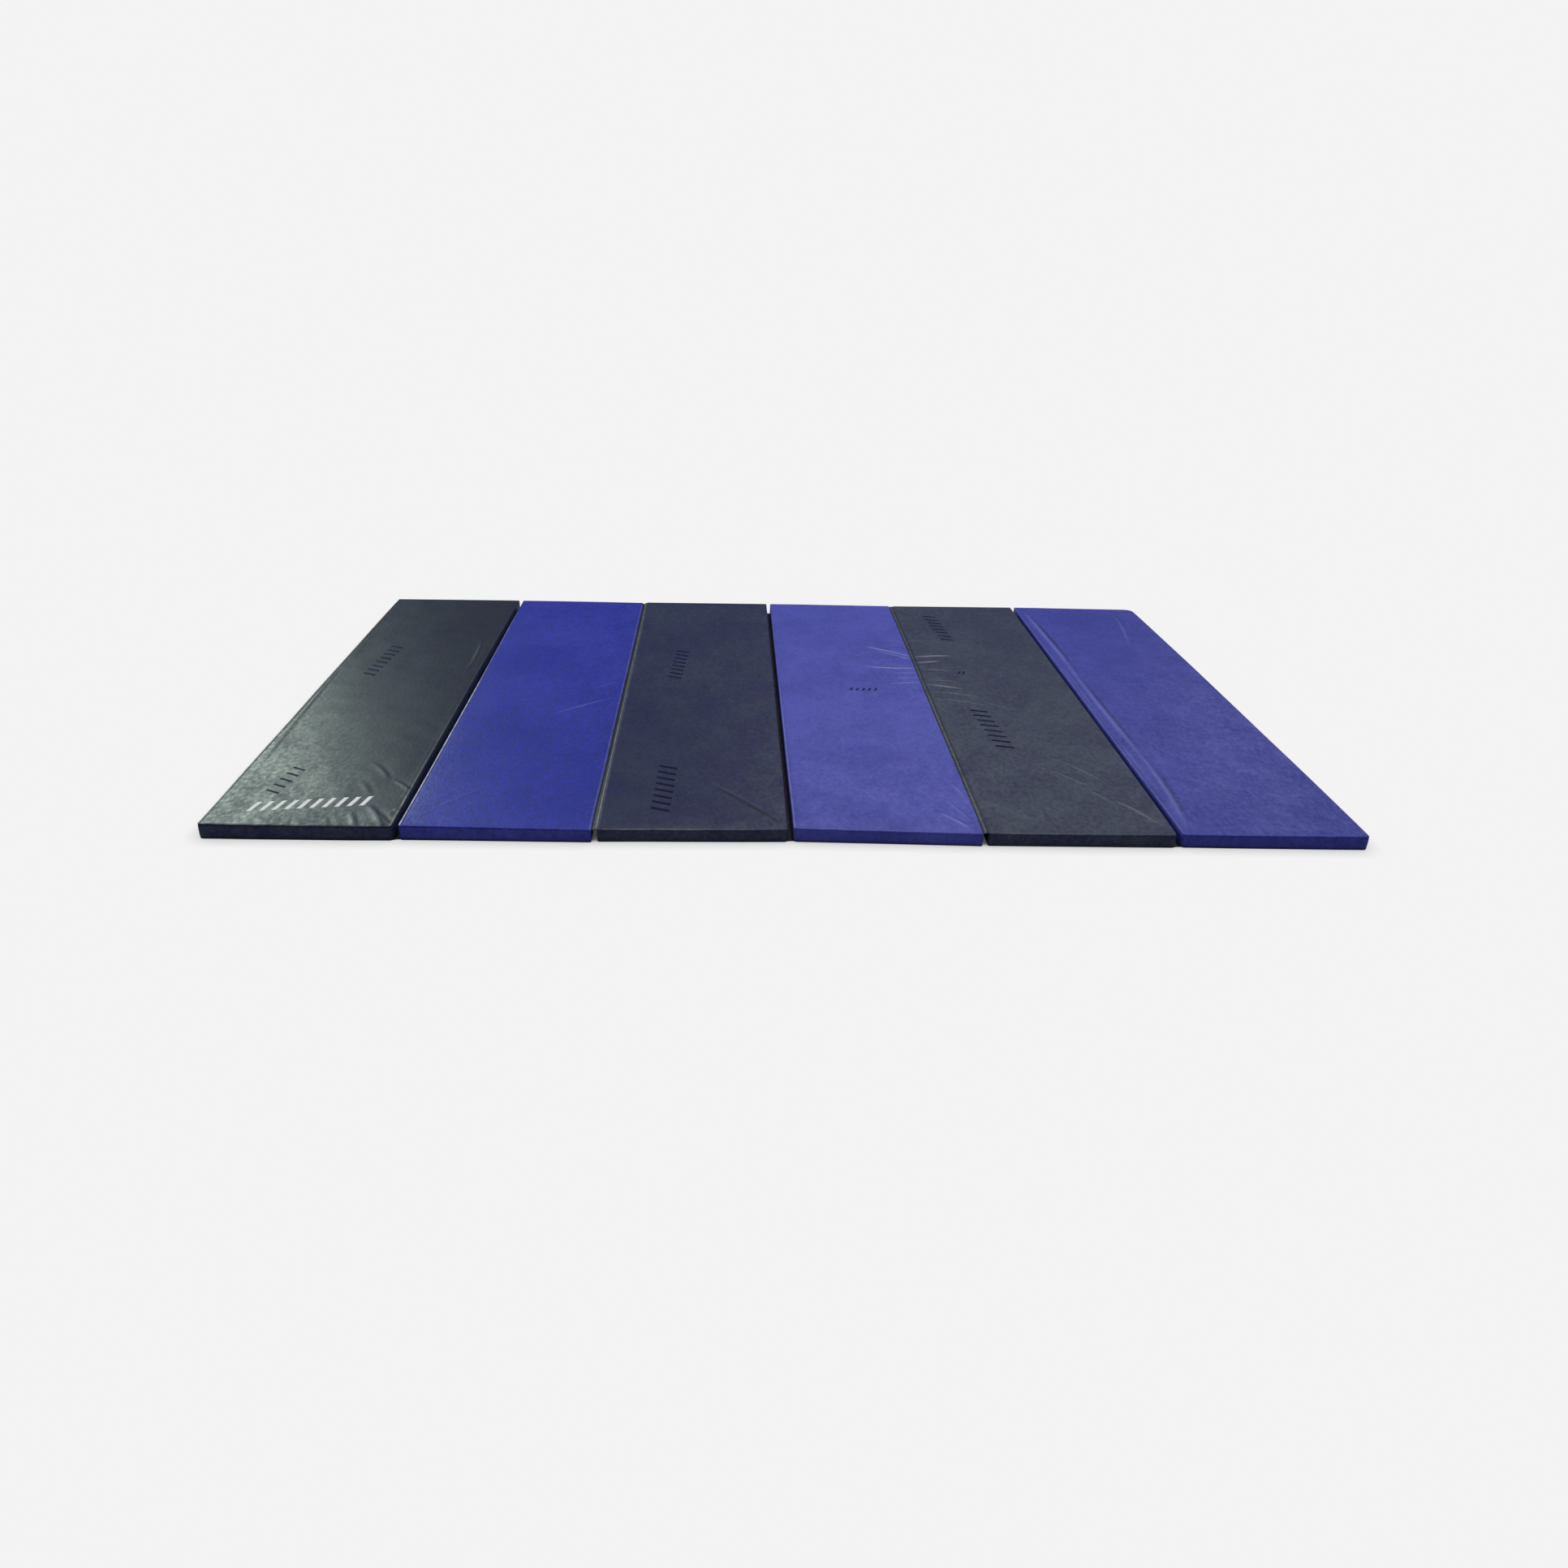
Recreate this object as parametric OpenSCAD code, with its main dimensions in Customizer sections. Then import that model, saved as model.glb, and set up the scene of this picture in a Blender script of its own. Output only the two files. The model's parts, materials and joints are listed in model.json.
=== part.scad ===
// Folding gymnastics mat: a row of foam panels in sewn vinyl covers, joined by flexible hinge strips.
// X runs across the panels, Y runs from their plain ends to their zipped ends, and Z is up.
// The origin is the centre of the underside.
// Odd seams have their hinge strip at the bottom and even seams have it on top,
// so the mat folds up like an accordion.

/* [Mat] */
// Number of panels
panel_count = 6; // [2:1:8]
// Width of one panel, across the mat
panel_w = 488; // [300:1:700]
// Length of a panel's cover, from its plain end to its zipped end
cover_l = 1996; // [1000:1:3000]
// Thickness of the mat
mat_t = 40; // [25:1:60]
// Open width between neighbouring panels
fold_gap = 14; // [6:1:24]
// Radius of a panel's upright corners
corner_r = 10; // [4:1:30]

/* [Cover] */
// Thickness of the coated cover fabric
cover_t = 1; // [0.6:0.1:2]
// Thickness of a hinge strip
strip_t = 1.2; // [0.8:0.1:2]
// How far a hinge strip lies in from the face that it is on
strip_inset = 0.8; // [0.4:0.1:3]

/* [Zip] */
// Length of a zip's tape
tape_l = 430; // [200:1:450]
// Width of a zip's tape, up the end of the panel
tape_w = 18; // [14:1:20]
// Thickness of a zip's tape
tape_t = 0.8; // [0.5:0.1:1.2]
// Width of a zip's coil
coil_w = 4; // [3:0.5:6]
// How far a coil stands off its tape
coil_t = 1.5; // [1:0.1:2]
// Length of a slider, along the coil
slider_l = 12; // [8:1:20]
// Width of a slider
slider_w = 9; // [8:0.5:12]

/* [Colours] */
// Colour of the odd panels
odd_colour = "#3b414c"; // [#3b414c:Charcoal, #6a6f78:Grey]
// Colour of the even panels
even_colour = "#454aa6"; // [#454aa6:Royal blue, #a03a3a:Red]

/* [Hidden] */
// Steps in a quarter turn of a panel's rounded corner
corner_steps = 6;
// Free space between a slider and the coil and tape it runs on
slider_play = 0.3;
// Thickness of a slider's outer plate
slider_plate = 1.4;
// Length of bare tape beyond each end of the coil
tape_end = 10;

core_t = mat_t - 2 * cover_t;
panel_pitch = panel_w + fold_gap;
coil_l = tape_l - 2 * tape_end;
channel_w = coil_w + 2 * slider_play;
// How far the slider's outer plate stands off the tape, inside and outside
plate_in = coil_t + slider_play;
plate_out = plate_in + slider_plate;
// The zips stand proud of the covers, so the covers lie this much towards the plain ends
cover_y = -(tape_t + plate_out) / 2;
zip_end_y = cover_y + cover_l / 2;
zip_z = mat_t / 2;

NODES = concat(
    [for (i = [1:panel_count]) each [
        str("foam_core_", i), str("top_sheet_", i), str("side_band_", i), str("base_sheet_", i),
        str("zip_tape_", i), str("zip_slider_", i)]],
    [for (i = [1:panel_count - 1]) str("hinge_strip_", i, "_", i + 1)]
);
node = "all";

function wanted(name) = node == "all" || node == name;
function panel_x(i) = (i - (panel_count + 1) / 2) * panel_pitch;
function seam_x(i) = panel_x(i) + panel_pitch / 2;
function is_odd(i) = i % 2 == 1;
function panel_colour(i) = is_odd(i) ? odd_colour : even_colour;

// Points of a quarter circle about (x, y), from the angle start
function corner_arc(x, y, r, start) = [
    for (k = [0:corner_steps])
        let (a = start + 90 * k / corner_steps)
        [x + r * cos(a), y + r * sin(a)]
];

// Outline of a panel with rounded corners, drawn in from its cover's outer face by inset
function panel_outline(inset) =
    let (r = corner_r - inset, x = panel_w / 2 - corner_r, y = cover_l / 2 - corner_r)
    concat(
        corner_arc(x, y, r, 0),
        corner_arc(-x, y, r, 90),
        corner_arc(-x, -y, r, 180),
        corner_arc(x, -y, r, 270)
    );

module slab(i, inset, z, thickness) {
    translate([panel_x(i), cover_y, z])
        linear_extrude(thickness) polygon(panel_outline(inset));
}

// Closed-cell foam slab that fills the cover
module foam_core(i) {
    color("#c9ccd0") slab(i, cover_t, cover_t, core_t);
}

// Sheet that is walked on
module top_sheet(i) {
    color(panel_colour(i)) slab(i, 0, mat_t - cover_t, cover_t);
}

// Band round the panel's thickness, between the top and base sheets
module side_band(i) {
    color(panel_colour(i))
        translate([panel_x(i), cover_y, cover_t])
            linear_extrude(core_t)
                difference() {
                    polygon(panel_outline(0));
                    polygon(panel_outline(cover_t));
                }
}

// Grip sheet that lies on the floor
module base_sheet(i) {
    color(panel_colour(i)) slab(i, 0, 0, cover_t);
}

// Zip tape with its closed coil, sewn flat on the panel's far end
module zip_tape(i) {
    color("#202226")
        translate([panel_x(i), zip_end_y, zip_z]) {
            translate([-tape_l / 2, 0, -tape_w / 2]) cube([tape_l, tape_t, tape_w]);
            translate([-coil_l / 2, 0, -coil_w / 2]) cube([coil_l, tape_t + coil_t, coil_w]);
        }
}

// Slider at the closed end of its coil: an outer plate with a wall on each side of the coil
module zip_slider(i) {
    color("#8d9094")
        translate([panel_x(i) - coil_l / 2, zip_end_y + tape_t, zip_z])
            difference() {
                translate([0, slider_play, -slider_w / 2])
                    cube([slider_l, plate_out - slider_play, slider_w]);
                translate([-1, -1, -channel_w / 2])
                    cube([slider_l + 2, plate_in + 1, channel_w]);
            }
}

// Flexible strip that joins panel i to the next one
module hinge_strip(i) {
    z = is_odd(i) ? strip_inset : mat_t - strip_inset - strip_t;
    length = cover_l - 2 * corner_r;
    color("#2b2f36")
        translate([seam_x(i) - fold_gap / 2, cover_y - length / 2, z])
            cube([fold_gap, length, strip_t]);
}

for (i = [1:panel_count]) {
    if (wanted(str("foam_core_", i))) foam_core(i);
    if (wanted(str("top_sheet_", i))) top_sheet(i);
    if (wanted(str("side_band_", i))) side_band(i);
    if (wanted(str("base_sheet_", i))) base_sheet(i);
    if (wanted(str("zip_tape_", i))) zip_tape(i);
    if (wanted(str("zip_slider_", i))) zip_slider(i);
}
for (i = [1:panel_count - 1]) {
    if (wanted(str("hinge_strip_", i, "_", i + 1))) hinge_strip(i);
}
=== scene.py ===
import json
import math

import bpy
import numpy as np
from mathutils import Matrix, Vector
from mathutils.bvhtree import BVHTree

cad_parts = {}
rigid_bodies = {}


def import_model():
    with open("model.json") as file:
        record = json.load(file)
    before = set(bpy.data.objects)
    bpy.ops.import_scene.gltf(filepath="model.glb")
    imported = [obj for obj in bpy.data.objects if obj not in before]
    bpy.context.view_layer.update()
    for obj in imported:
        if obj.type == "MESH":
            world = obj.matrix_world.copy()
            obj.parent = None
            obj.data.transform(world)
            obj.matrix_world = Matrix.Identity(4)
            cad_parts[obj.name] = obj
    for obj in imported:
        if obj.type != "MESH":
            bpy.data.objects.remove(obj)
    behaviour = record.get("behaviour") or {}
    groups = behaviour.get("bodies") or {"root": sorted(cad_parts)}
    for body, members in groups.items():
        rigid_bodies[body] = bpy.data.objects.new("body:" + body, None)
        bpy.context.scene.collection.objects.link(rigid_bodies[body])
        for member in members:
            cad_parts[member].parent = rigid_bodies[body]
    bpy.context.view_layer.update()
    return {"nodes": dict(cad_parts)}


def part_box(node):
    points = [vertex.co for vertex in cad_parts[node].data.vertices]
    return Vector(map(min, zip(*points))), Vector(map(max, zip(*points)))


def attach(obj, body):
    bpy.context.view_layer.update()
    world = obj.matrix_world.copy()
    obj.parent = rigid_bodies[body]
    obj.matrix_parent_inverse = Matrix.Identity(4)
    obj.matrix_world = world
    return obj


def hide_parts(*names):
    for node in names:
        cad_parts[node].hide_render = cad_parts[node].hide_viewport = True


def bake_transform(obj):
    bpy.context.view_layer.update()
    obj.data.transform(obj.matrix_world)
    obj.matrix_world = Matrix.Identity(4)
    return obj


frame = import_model()

MM = 0.001

# ---------------- driving sizes, from the frame

PANELS = [i + 1 for i in range(sum(name.startswith("side_band_") for name in frame["nodes"]))]
SEAMS = PANELS[:-1]

base_low, base_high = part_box("base_sheet_1")
top_low, top_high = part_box("top_sheet_1")
HALF_X = (base_high.x - base_low.x) / 2
HALF_Y = (base_high.y - base_low.y) / 2
MID_Y = (base_high.y + base_low.y) / 2
FLOOR_Z = base_low.z
TOP_Z = top_high.z
strip_low, strip_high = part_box("hinge_strip_1_2")
GAP = strip_high.x - strip_low.x

EDGE_R = 2.8 * MM  # radius of the cover's turned edge
EDGE_INSET = 3.2 * MM  # where the flat of a sheet ends, in from the outline
OPEN_CORNER = 10 * MM  # plan radius of a corner at an open seam or an outer side
HINGED_CORNER = 5 * MM  # plan radius of a corner where a strip joins the tops
ZIPPED_CORNER = 5 * MM  # plan radius of a corner at the zipped end
LOOSE_CORNER = 34 * MM  # plan radius of the last panel's outer corner at the zipped end
TOP_STEP = 4 * MM  # cell size of a top sheet
CORNER_CELLS = 4  # cells across a corner, and across the edge beside it
FABRIC = 0.8 * MM  # thickness of the coated fabric


def panel_x(i):
    low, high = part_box(f"base_sheet_{i}")
    return (low.x + high.x) / 2


def strip_on_top(seam):
    """True where the hinge strip of this seam lies in the top faces."""
    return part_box(f"hinge_strip_{seam}_{seam + 1}")[0].z > (FLOOR_Z + TOP_Z) / 2


def corner_radii(i):
    """Plan radii of a panel's corners: the plain end's left and right, then the zipped end's."""
    left = HINGED_CORNER if i > PANELS[0] and strip_on_top(i - 1) else OPEN_CORNER
    right = HINGED_CORNER if i < PANELS[-1] and strip_on_top(i) else OPEN_CORNER
    return left, right, ZIPPED_CORNER, (LOOSE_CORNER if i == PANELS[-1] else ZIPPED_CORNER)


def is_charcoal(i):
    return i % 2 == 1


# ---------------- shapes of the cloth

NOISE_CELLS = 64  # random heights along each side of a noise table
NOISE_START = 640  # keeps table places above 0

# Beside a crease's ridge lies a valley: how deep, how far off and how wide against the ridge
VALLEY_DEPTH, VALLEY_AT, VALLEY_WIDTH = 0.55, 1.7, 1.3


def between(table, i, j, fi, fj):
    """Values between a table's entries, eased so that they join. The table repeats at its ends."""
    fi, fj = fi * fi * (3 - 2 * fi), fj * fj * (3 - 2 * fj)
    rows, columns = table.shape
    i0, i1, j0, j1 = i % rows, (i + 1) % rows, j % columns, (j + 1) % columns
    low = table[i0, j0] * (1 - fi) + table[i1, j0] * fi
    high = table[i0, j1] * (1 - fi) + table[i1, j1] * fi
    return low * (1 - fj) + high * fj


def smooth_noise(x, y, size, seed):
    """Smooth random heights from -1 to 1, with bumps about size across."""
    table = np.random.RandomState(seed).uniform(-1, 1, (NOISE_CELLS, NOISE_CELLS))
    u, v = np.asarray(x) / size + NOISE_START, np.asarray(y) / size + NOISE_START
    i, j = np.floor(u).astype(int), np.floor(v).astype(int)
    return between(table, i, j, u - i, v - j)


def noise_along_x(x, size, seed):
    return smooth_noise(x, 0 * x, size, seed)


def noise_along_y(y, size, seed):
    return smooth_noise(0 * y, y, size, seed)


def hump(distance, width):
    """1 on the line and falling off to each side."""
    return np.exp(-(distance / width) ** 2)


def crease(x, y, x0, y0, x1, y1, width, height, bow):
    """Height of a crease: a ridge with a shallow valley beside it, fading at both ends."""
    dx, dy = x1 - x0, y1 - y0
    length = math.hypot(dx, dy)
    along = np.clip(((x - x0) * dx + (y - y0) * dy) / length ** 2, 0, 1)
    arch = np.sin(math.pi * along)
    across = ((y - y0) * dx - (x - x0) * dy) / length - bow * arch
    valley = VALLEY_DEPTH * hump(across - VALLEY_AT * width, VALLEY_WIDTH * width)
    return height * arch ** 0.8 * (hump(across, width) - valley)


# Creases of each top sheet in mm, x from the panel's centre line and y from its middle: start x and y,
# end x and y, half width, height, bow
CREASES = {
    1: [
        (-234, 200, -226, -720, 5, 0.7, 4), (-216, -200, -208, -860, 5, 0.6, -5),
        (-190, -550, -160, -920, 6, 0.4, 6), (185, 520, 199, 140, 6, 0.8, 5),
        (85, -600, 165, -720, 8, 0.7, 4), (175, -715, 240, -785, 6, 0.8, 2),
        (85, -720, 140, -820, 8, 0.6, 3), (150, -870, 222, -1010, 9, 1.3, 4),
        (115, -910, 156, -1010, 8, 0.9, 0), (62, -940, 84, -1010, 6, 0.7, 0),
        (-30, -955, -14, -1010, 5, 0.6, 0), (195, -920, 238, -990, 5, 0.9, 0),
    ],
    2: [
        (20, -250, 236, -70, 5, 1.1, 7), (130, -20, 240, 90, 6, 0.7, 4), (170, 60, 242, 150, 5, 0.6, 0),
    ],
    3: [
        (20, -710, 243, -985, 5, -2.0, 4), (110, -840, 236, -995, 5, 1.1, 3),
        (-10, -660, 120, -810, 6, 0.7, 3), (115, 890, 190, 975, 6, 1.0, 3), (150, 870, 225, 950, 6, 0.8, 3),
        (-200, 620, -120, 400, 10, 0.5, 6),
    ],
    4: [
        (80, 480, 256, 362, 7, 2.6, 6), (115, 435, 256, 325, 6, 1.7, 4), (60, 254, 256, 245, 7, 2.8, -4),
        (150, 560, 250, 530, 6, 0.9, 3), (120, 720, 240, 660, 7, 0.9, 4), (165, 195, 252, 200, 5, 1.3, 2),
        (150, 140, 252, 150, 5, 1.4, 2), (120, 85, 252, 105, 6, 1.6, 3), (185, 45, 252, 60, 5, 1.0, 0),
        (205, -690, 236, -830, 6, 1.0, 4), (140, -880, 222, -990, 7, 1.7, 4),
        (180, -800, 232, -950, 6, 1.0, -4), (-225, 550, -205, -100, 9, 0.4, 6),
    ],
    5: [
        (-254, 360, -100, 385, 7, 2.6, 6), (-254, 300, -150, 325, 7, 2.4, -3),
        (-250, 540, -190, 560, 6, 0.9, 0), (-250, 235, -120, 215, 7, 1.2, 3),
        (-235, 130, -130, 115, 6, 1.1, 3), (-250, 85, -110, 40, 7, 2.0, 4), (-250, 20, -60, -40, 7, 1.1, 8),
        (-240, -45, -60, -110, 6, 1.1, 6), (-140, -50, 60, -170, 7, 0.7, 8),
        (110, -760, 234, -975, 8, 1.3, 6), (20, -500, 165, -730, 7, 1.0, 12),
        (-20, -580, 110, -740, 6, 1.0, 8), (60, -700, 150, -860, 6, 0.9, 4),
        (-165, -550, -180, -800, 8, 0.5, 6),
    ],
    6: [
        (-216, 975, -200, 180, 8, 2.8, 5), (-203, 300, -192, -600, 8, 2.6, -4),
        (-194, -500, -222, -985, 8, 2.6, 8), (-232, 500, -228, -300, 6, 1.1, 3),
        (-228, -200, -215, -900, 6, 1.1, -4), (150, 950, 90, 520, 7, 1.5, 8),
        (185, 930, 130, 620, 6, 0.9, 5), (150, -840, 195, -960, 6, 0.6, 4),
    ],
}

# How high a top sheet's middle and its broad waves stand and, in mm, its ripples
CROWN, WAVE = 0.25 * MM, 0.5 * MM
RIPPLE = {1: 0.42, 2: 0.22, 3: 0.22, 4: 0.22, 5: 0.22, 6: 0.22}

# How strongly the front hem of each top sheet puckers, in mm
FRONT_PUCKER = {1: 0.9, 2: 0.2, 3: 0.9, 4: 0.3, 5: 0.25, 6: 0.2}

# How far the sewn edge stands up at the left side, the right side and the ends of each top sheet, in mm
BEAD = {1: (0.5, 0.2, 0.3), 2: (0.8, 0.5, 0.1), 3: (0.2, 0.2, 0.4), 4: (0.9, 0.3, 0.5), 5: (0.3, 0.2, 0.4),
        6: (0.9, 0.2, 0.1)}


def seam_bead(inset, height):
    """The sewn edge stands up a little, with a narrow dip inside it."""
    return height * (hump(inset - 3.6 * MM, 2.0 * MM) - 0.6 * hump(inset - 8.5 * MM, 2.6 * MM))


def crease_height(i, x, y):
    """Height that the creases add to a top sheet."""
    total = 0 * x
    for sizes in np.array(CREASES[i]) * MM:
        total = total + crease(x, y, *sizes)
    return total


# Where a top sheet has cloth to spare: x and y in metres, how far it reaches and how much
LOOSE = {
    1: [(0.20, -0.93, 0.14, 1.0), (-0.21, -0.50, 0.25, 0.35)],
    2: [(0.20, -0.10, 0.10, 0.3)],
    3: [(0.15, -0.85, 0.13, 0.8), (0.18, 0.93, 0.08, 0.5)],
    4: [(0.24, 0.33, 0.15, 1.0), (0.20, -0.90, 0.12, 0.6)],
    5: [(-0.24, 0.25, 0.17, 1.0), (0.17, -0.85, 0.15, 0.7)],
    6: [(-0.21, 0.30, 0.12, 0.4), (-0.21, -0.80, 0.12, 0.4), (0.14, 0.75, 0.12, 0.3)],
}
TIGHT = 0.96  # how nearly a sheet is cut to size where no cloth is spare, 1 being exactly
CLOTH = {
    "mass": 0.2, "tension_stiffness": 30, "compression_stiffness": 30, "shear_stiffness": 15,
    "bending_stiffness": 0.5, "air_damping": 2, "vertex_group_mass": "held",
    "vertex_group_shrink": "tight", "shrink_max": 0.0, "shrink_min": -0.03,
    "use_pressure": True, "uniform_pressure_force": 0.3,
}
SLACK_MOMENTS = 20  # frames that the simulation runs for
SLACK_STEP = 12 * MM
SLACK_SHARE = 0.16  # how much of the simulated relief the foam lets through
SLACK_CAP = 1.3 * MM
ROOM = 2.2 * MM  # what two tops that lie face to face may stand up between them


def simulate_slack(i):
    """Relief of a top sheet from a cloth simulation: held at its edge, too large in places."""
    x = np.linspace(-HALF_X, HALF_X, round(2 * HALF_X / SLACK_STEP) + 1)
    y = np.linspace(-HALF_Y, HALF_Y, round(2 * HALF_Y / SLACK_STEP) + 1)
    x, y = np.meshgrid(x, y)
    held = (np.minimum(HALF_X - np.abs(x), HALF_Y - np.abs(y)) < 0.1 * MM) * 1.0
    z = 0.5 * MM * smooth_noise(x, y, 0.03, 500 + i) * (1 - held)
    cloth = new_object("slack", points_at(x, y, z).reshape(-1, 3), grid_faces(*x.shape), [])
    tight = 0 * x + TIGHT
    for at_x, at_y, reach, amount in LOOSE[i]:
        tight = np.minimum(tight, 1 - amount * hump(np.hypot(x - at_x, y - at_y), reach))
    for name, weights in (("held", held), ("tight", tight)):
        group = cloth.vertex_groups.new(name=name)
        for k, weight in enumerate(weights.ravel().tolist()):
            group.add([k], weight, "REPLACE")
    mod = cloth.modifiers.new("cloth", "CLOTH")
    for key, value in CLOTH.items():
        setattr(mod.settings, key, value)
    mod.settings.effector_weights.gravity = 0
    mod.point_cache.frame_start, mod.point_cache.frame_end = 1, SLACK_MOMENTS
    for moment in range(1, SLACK_MOMENTS + 1):
        bpy.context.scene.frame_set(moment)
    after = cloth.evaluated_get(bpy.context.evaluated_depsgraph_get()).data
    moved = np.empty(3 * len(after.vertices))
    after.vertices.foreach_get("co", moved)
    bpy.context.scene.frame_set(1)
    bpy.data.objects.remove(cloth)
    return moved.reshape(-1, 3)[:, 2].reshape(x.shape)


def slack_height(i, x, y):
    """The simulated relief at a point, scaled to what the foam lets through."""
    relief = SLACK[i]
    rows, columns = relief.shape
    u = np.clip((x / HALF_X + 1) / 2, 0, 1) * (columns - 1)
    v = np.clip((y / HALF_Y + 1) / 2, 0, 1) * (rows - 1)
    c, r = np.minimum(u.astype(int), columns - 2), np.minimum(v.astype(int), rows - 2)
    return np.clip(SLACK_SHARE * between(relief.T, c, r, u - c, v - r), -SLACK_CAP / 2, SLACK_CAP)


def free_height(i, x, y):
    """Height of a top sheet above the panel's top face, with nothing pressing on it."""
    inset_x, inset_y = HALF_X - np.abs(x), HALF_Y - np.abs(y)
    inset = np.minimum(inset_x, inset_y)
    h = CROWN * (1 - (x / HALF_X) ** 2) * (1 - (y / HALF_Y) ** 6)
    h = h + WAVE * smooth_noise(x, y, 0.21, 10 + i) * np.clip(inset / 0.03, 0, 1)
    h = h + RIPPLE[i] * MM * smooth_noise(x, y, 0.06, 20 + i) * np.clip(inset / 0.02, 0, 1)
    left, right, ends = BEAD[i]
    h = h + seam_bead(inset_y, ends * MM)
    h = h + seam_bead(inset_x, np.where(x < 0, left, right) * MM) * np.clip(inset_y / 0.01, 0, 1)
    h = h + crease_height(i, x, y) + slack_height(i, x, y)
    front = np.exp(-(y + HALF_Y) / (9 * MM)) * FRONT_PUCKER[i] * MM
    h = h + front * (noise_along_x(x, 0.009, 30 + i) + 0.7 * noise_along_x(x, 0.026, 40 + i))
    sides = np.exp(-inset_x / (8 * MM)) * 0.22 * MM
    h = h + sides * noise_along_y(y + np.sign(x), 0.018, 50 + i)
    return h + edge_lift(i, x, y) * np.exp(-(inset - EDGE_INSET) / (28 * MM))


def facing(i):
    """The panels whose tops come to lie on this one's when the mat folds."""
    return [2 * seam + 1 - i for seam in SEAMS if strip_on_top(seam) and 2 * seam + 1 - i in PANELS]


def top_height(i, x, y):
    """Height of a top sheet, kept low where a folded panel's top lies on it."""
    h = free_height(i, x, y)
    for other in facing(i):
        h = np.minimum(h, np.maximum(ROOM - free_height(other, -x, y), ROOM / 2))
    return h


# Where a top sheet's edge gets a painted highlight line: side, from and to along it in metres, and how
# strongly
EDGE_HIGHLIGHTS = {
    1: [("front", -0.25, 0.25, 0.15), ("left", -1.1, 0.9, 0.60)],
    2: [("left", -1.1, 0.20, 0.85), ("left", 0.1, 0.9, 0.20), ("right", -1.1, 1.1, 0.10)],
    3: [("front", -0.25, 0.25, 0.32), ("left", -1.1, 0.9, 0.12)],
    4: [("left", -1.1, 0.10, 0.40), ("left", -0.1, 0.9, 0.15), ("front", -0.25, 0.25, 0.22)],
    5: [("front", -0.25, 0.25, 0.16)],
    6: [("left", -1.1, 1.1, 0.26), ("front", -0.25, 0.25, 0.06)],
}


def edge_highlights(i, x, y):
    """Painted highlight along a top sheet's edges, with a painted shade line just inside it: above 0 pale,
    below 0 darker, up to 1.
    """
    total = 0 * x
    for side, start, end, strength in EDGE_HIGHLIGHTS[i]:
        inset = {"left": x + HALF_X, "right": HALF_X - x, "front": y + HALF_Y}[side] - EDGE_INSET
        along = x if side == "front" else y
        reach = np.clip((along - start) / 0.06, 0, 1) * np.clip((end - along) / 0.25, 0, 1)
        patchy = 0.8 + 0.3 * noise_along_x(along, 0.016, 400 + i)
        # A painted highlight on the edge, and a painted shade line just inside it
        line = hump(np.maximum(inset, 0), 2.4 * MM) - 0.45 * hump(inset - 6 * MM, 2.6 * MM)
        total = total + strength * reach * patchy * line
    return total


# How strongly the crests of the creases are painted pale, as painted highlight
CREST_HIGHLIGHT = {1: 0.60, 2: 0.26, 3: 0.12, 4: 0.60, 5: 0.46, 6: 0.30}


def painted_top_light(i, x, y):
    """Painted light on a top sheet: the painted edge highlights, and on the creases a painted highlight on
    the crest and painted shade in the fold.
    """
    height = crease_height(i, x, y)
    pale = CREST_HIGHLIGHT[i] * np.clip((height - 0.3 * MM) / (1.5 * MM), 0, 1)
    return edge_highlights(i, x, y) + pale - 0.85 * np.clip((-height - 0.6 * MM) / (1.0 * MM), 0, 1)


# How far the middle of each panel's left and right side bulges out, in mm
SIDE_BULGE = {1: (2.0, -1.5), 2: (-1.5, 0.5), 3: (0.5, 0.0), 4: (0.0, 0.5), 5: (0.5, 1.0), 6: (1.0, 5.0)}
# How far the plain end of each panel is set back at its left and right, in mm
SET_BACK = {1: (6, 4), 2: (8, 5), 3: (9, 16), 4: (19, 3), 5: (6, 5), 6: (6, 2)}
# How far the top edge is lifted or drawn down near each corner, in mm: the plain end's left and right,
# then the zipped end's
LIFT = {1: (2.2, 1.0, -1.5, 0.0), 2: (1.8, -3.6, 0.0, -2.0), 3: (-4.2, -3.8, -0.5, 0.8),
        4: (0.0, -4.0, 1.6, -1.0), 5: (-3.0, -3.4, -1.2, 0.8), 6: (-1.6, -1.0, 1.7, -1.5)}

LIFT_REACH = 90 * MM  # how far in from an end its lift reaches
SIDE_REACH = 60 * MM  # how far in from a side its bulge reaches
FRONT_REACH = 50 * MM  # how far in from the plain end its waves reach


def edge_lift(i, x, y):
    """Height of the top edge above or below its level place."""
    near_left, near_right, far_left, far_right = (v * MM for v in LIFT[i])
    t = (x / HALF_X + 1) / 2
    near = (near_left * (1 - t) + near_right * t) * np.exp(-(HALF_Y + y) / LIFT_REACH)
    far = (far_left * (1 - t) ** 2 + far_right * t ** 2) * np.exp(-(HALF_Y - y) / LIFT_REACH)
    return near + far


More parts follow.
